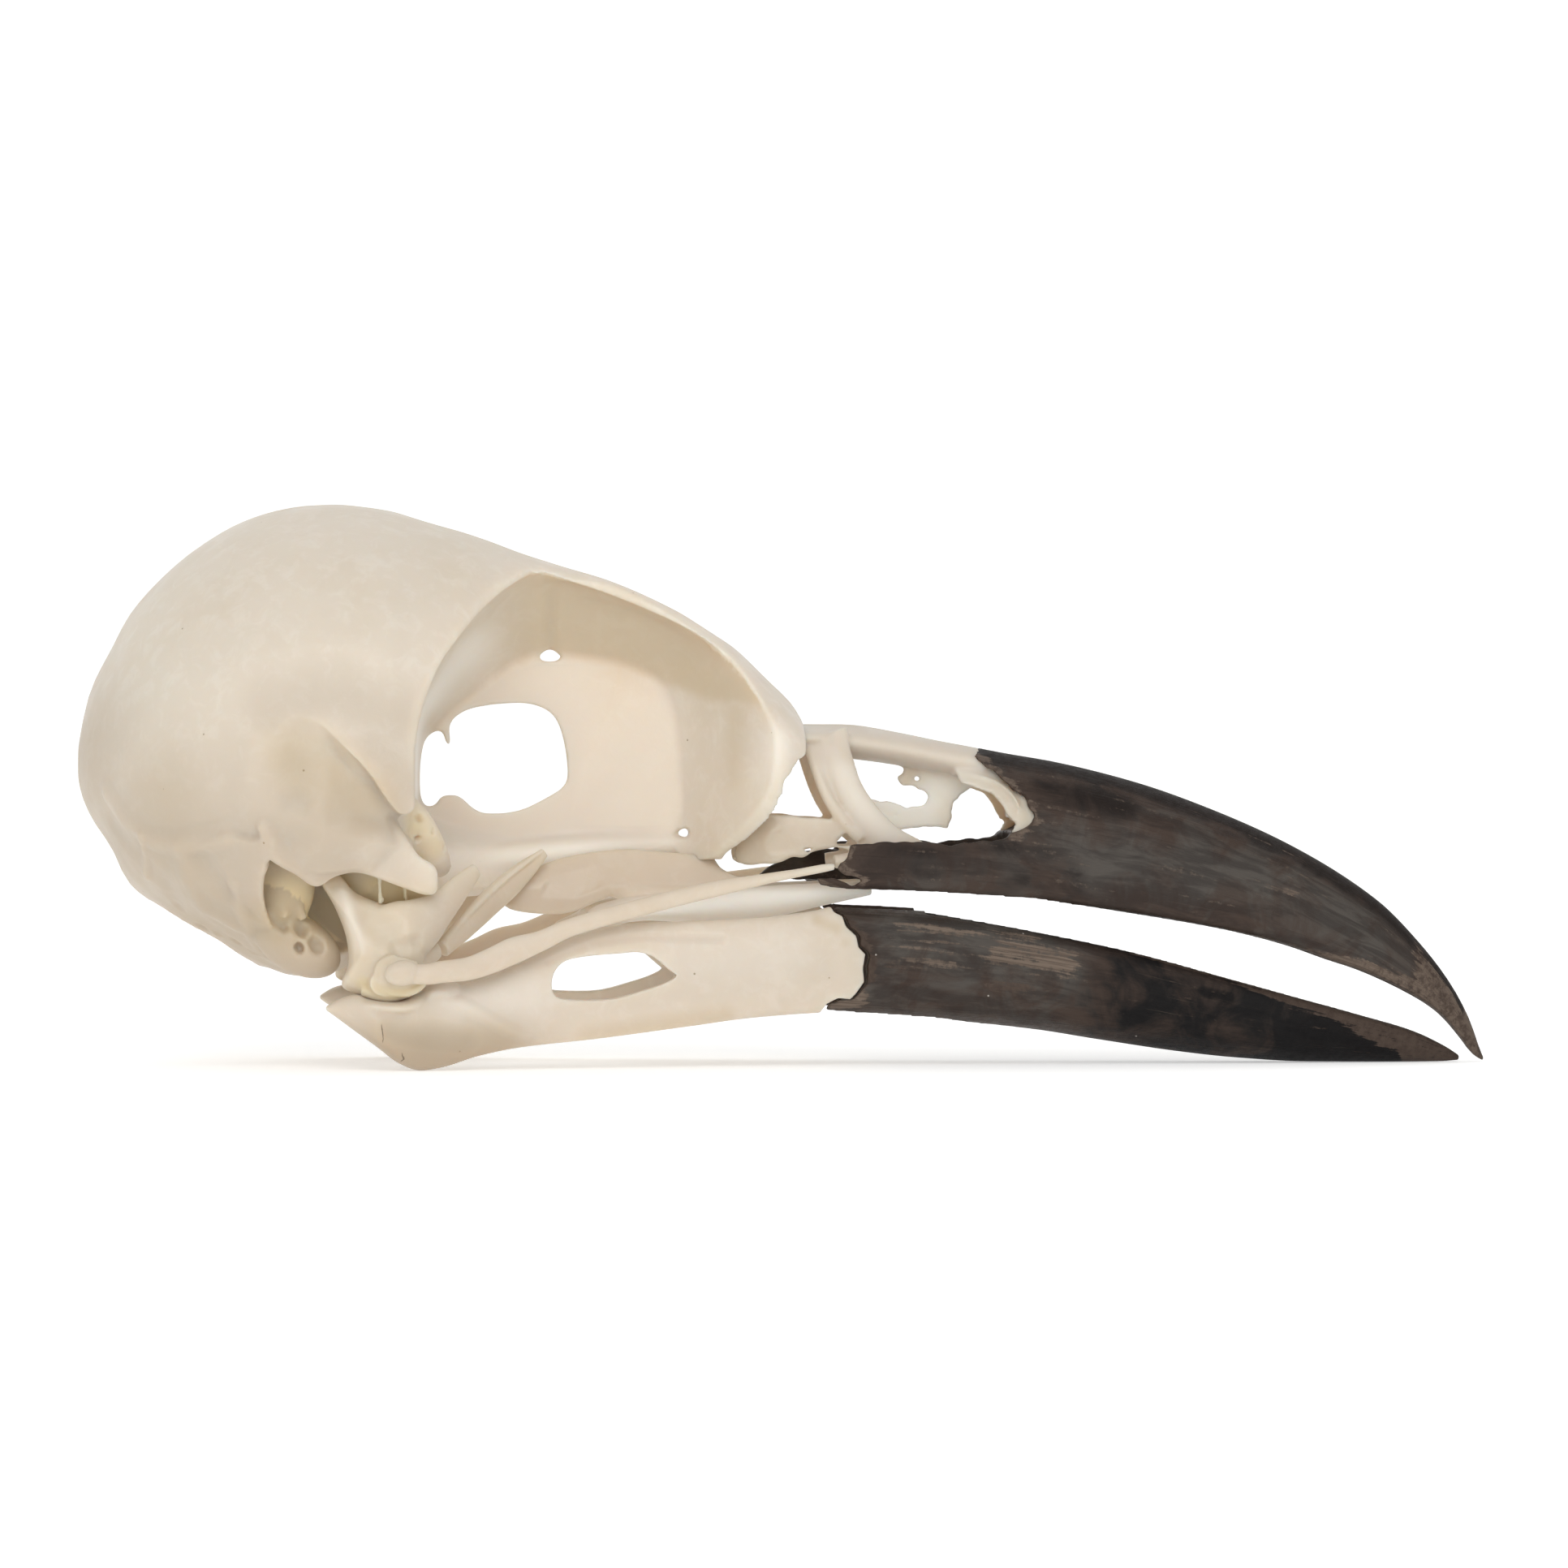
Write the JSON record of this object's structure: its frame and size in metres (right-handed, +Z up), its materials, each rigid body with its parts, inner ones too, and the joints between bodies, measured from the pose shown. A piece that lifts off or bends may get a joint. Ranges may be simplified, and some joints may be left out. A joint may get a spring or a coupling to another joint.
{
  "type": "magpie skull",
  "caption": "Cleaned bird skull with a rounded braincase, large eye sockets, slender jaws and a long curved horn bill, resting on its lower jaw.",
  "frame": {"origin": "middle of the outline on the table: x and y midway along the whole skull, z at the table", "axes": "+X toward the bill tip, +Y toward the bird's left side, +Z up"},
  "size_m": [0.062, 0.0248, 0.0245],
  "materials": {
    "bone": "cleaned cream bone, dull to satin",
    "horn": "brown-black bill horn, soft sheen with fine lengthwise streaks"
  },
  "bodies": {
    "root": {"cranium": "bone", "upper_jaw": "bone", "upper_bill_sheath": "horn", "lower_bill_sheath": "horn", "quadrate_left": "bone", "quadrate_right": "bone", "jugal_left": "bone", "jugal_right": "bone", "pterygoid_left": "bone", "pterygoid_right": "bone", "palatine_left": "bone", "palatine_right": "bone", "mandible_ramus_left": "bone", "mandible_ramus_right": "bone"}
  },
  "joints": []
}
